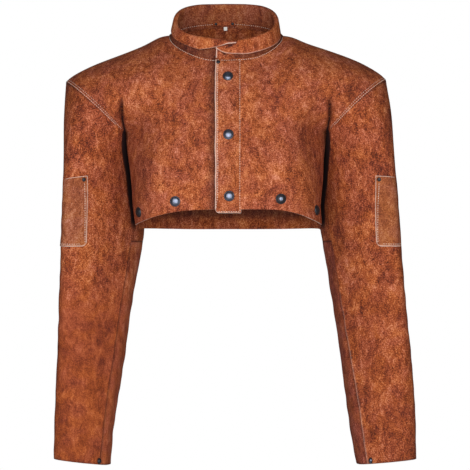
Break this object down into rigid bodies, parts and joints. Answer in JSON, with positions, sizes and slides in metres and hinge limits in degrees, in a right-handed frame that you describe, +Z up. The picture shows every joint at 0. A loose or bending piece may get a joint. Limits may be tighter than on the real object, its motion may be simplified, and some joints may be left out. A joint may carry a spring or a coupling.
{
  "type": "leather welding cape",
  "caption": "Cropped leather welding cape with long sleeves, a turned-down collar, a snapped front placket, arm patches and hem snaps for a bib.",
  "frame": {"origin": "in the neck opening, at the height where the shoulder seams meet the neckline, where the cape sits on its wearer", "axes": "+Z up, the front faces -Y, +X is the wearer's left"},
  "size_m": [0.5801, 0.2479, 0.7429],
  "materials": {
    "leather": "split suede",
    "inner_leather": "split suede, shaded",
    "patch_leather": "split suede, lighter",
    "snap_metal": "dark gunmetal, glossy",
    "tab_fabric": "woven"
  },
  "bodies": {
    "root": {"front_left": "leather", "front_right": "leather", "placket": "leather", "back": "inner_leather", "collar": "leather", "hanger": "leather", "neck_tab": "tab_fabric", "sleeve_right_upper": "leather", "sleeve_right_under": "inner_leather", "sleeve_right_gusset": "inner_leather", "sleeve_left_upper": "leather", "sleeve_left_under": "inner_leather", "sleeve_left_gusset": "inner_leather", "arm_patch_right": "patch_leather", "arm_patch_left": "patch_leather", "snap_cap_1": "snap_metal", "snap_cap_2": "snap_metal", "snap_cap_3": "snap_metal", "snap_stud_1": "snap_metal", "snap_stud_2": "snap_metal", "snap_stud_3": "snap_metal", "hem_snap_1": "snap_metal", "hem_snap_2": "snap_metal", "hem_snap_3": "snap_metal", "hem_snap_4": "snap_metal", "cuff_snap_right": "snap_metal", "cuff_snap_left": "snap_metal", "rivet_placket": "snap_metal", "rivet_hanger_1": "snap_metal", "rivet_hanger_2": "snap_metal", "rivet_patch_right": "snap_metal", "rivet_patch_left": "snap_metal"}
  },
  "joints": []
}
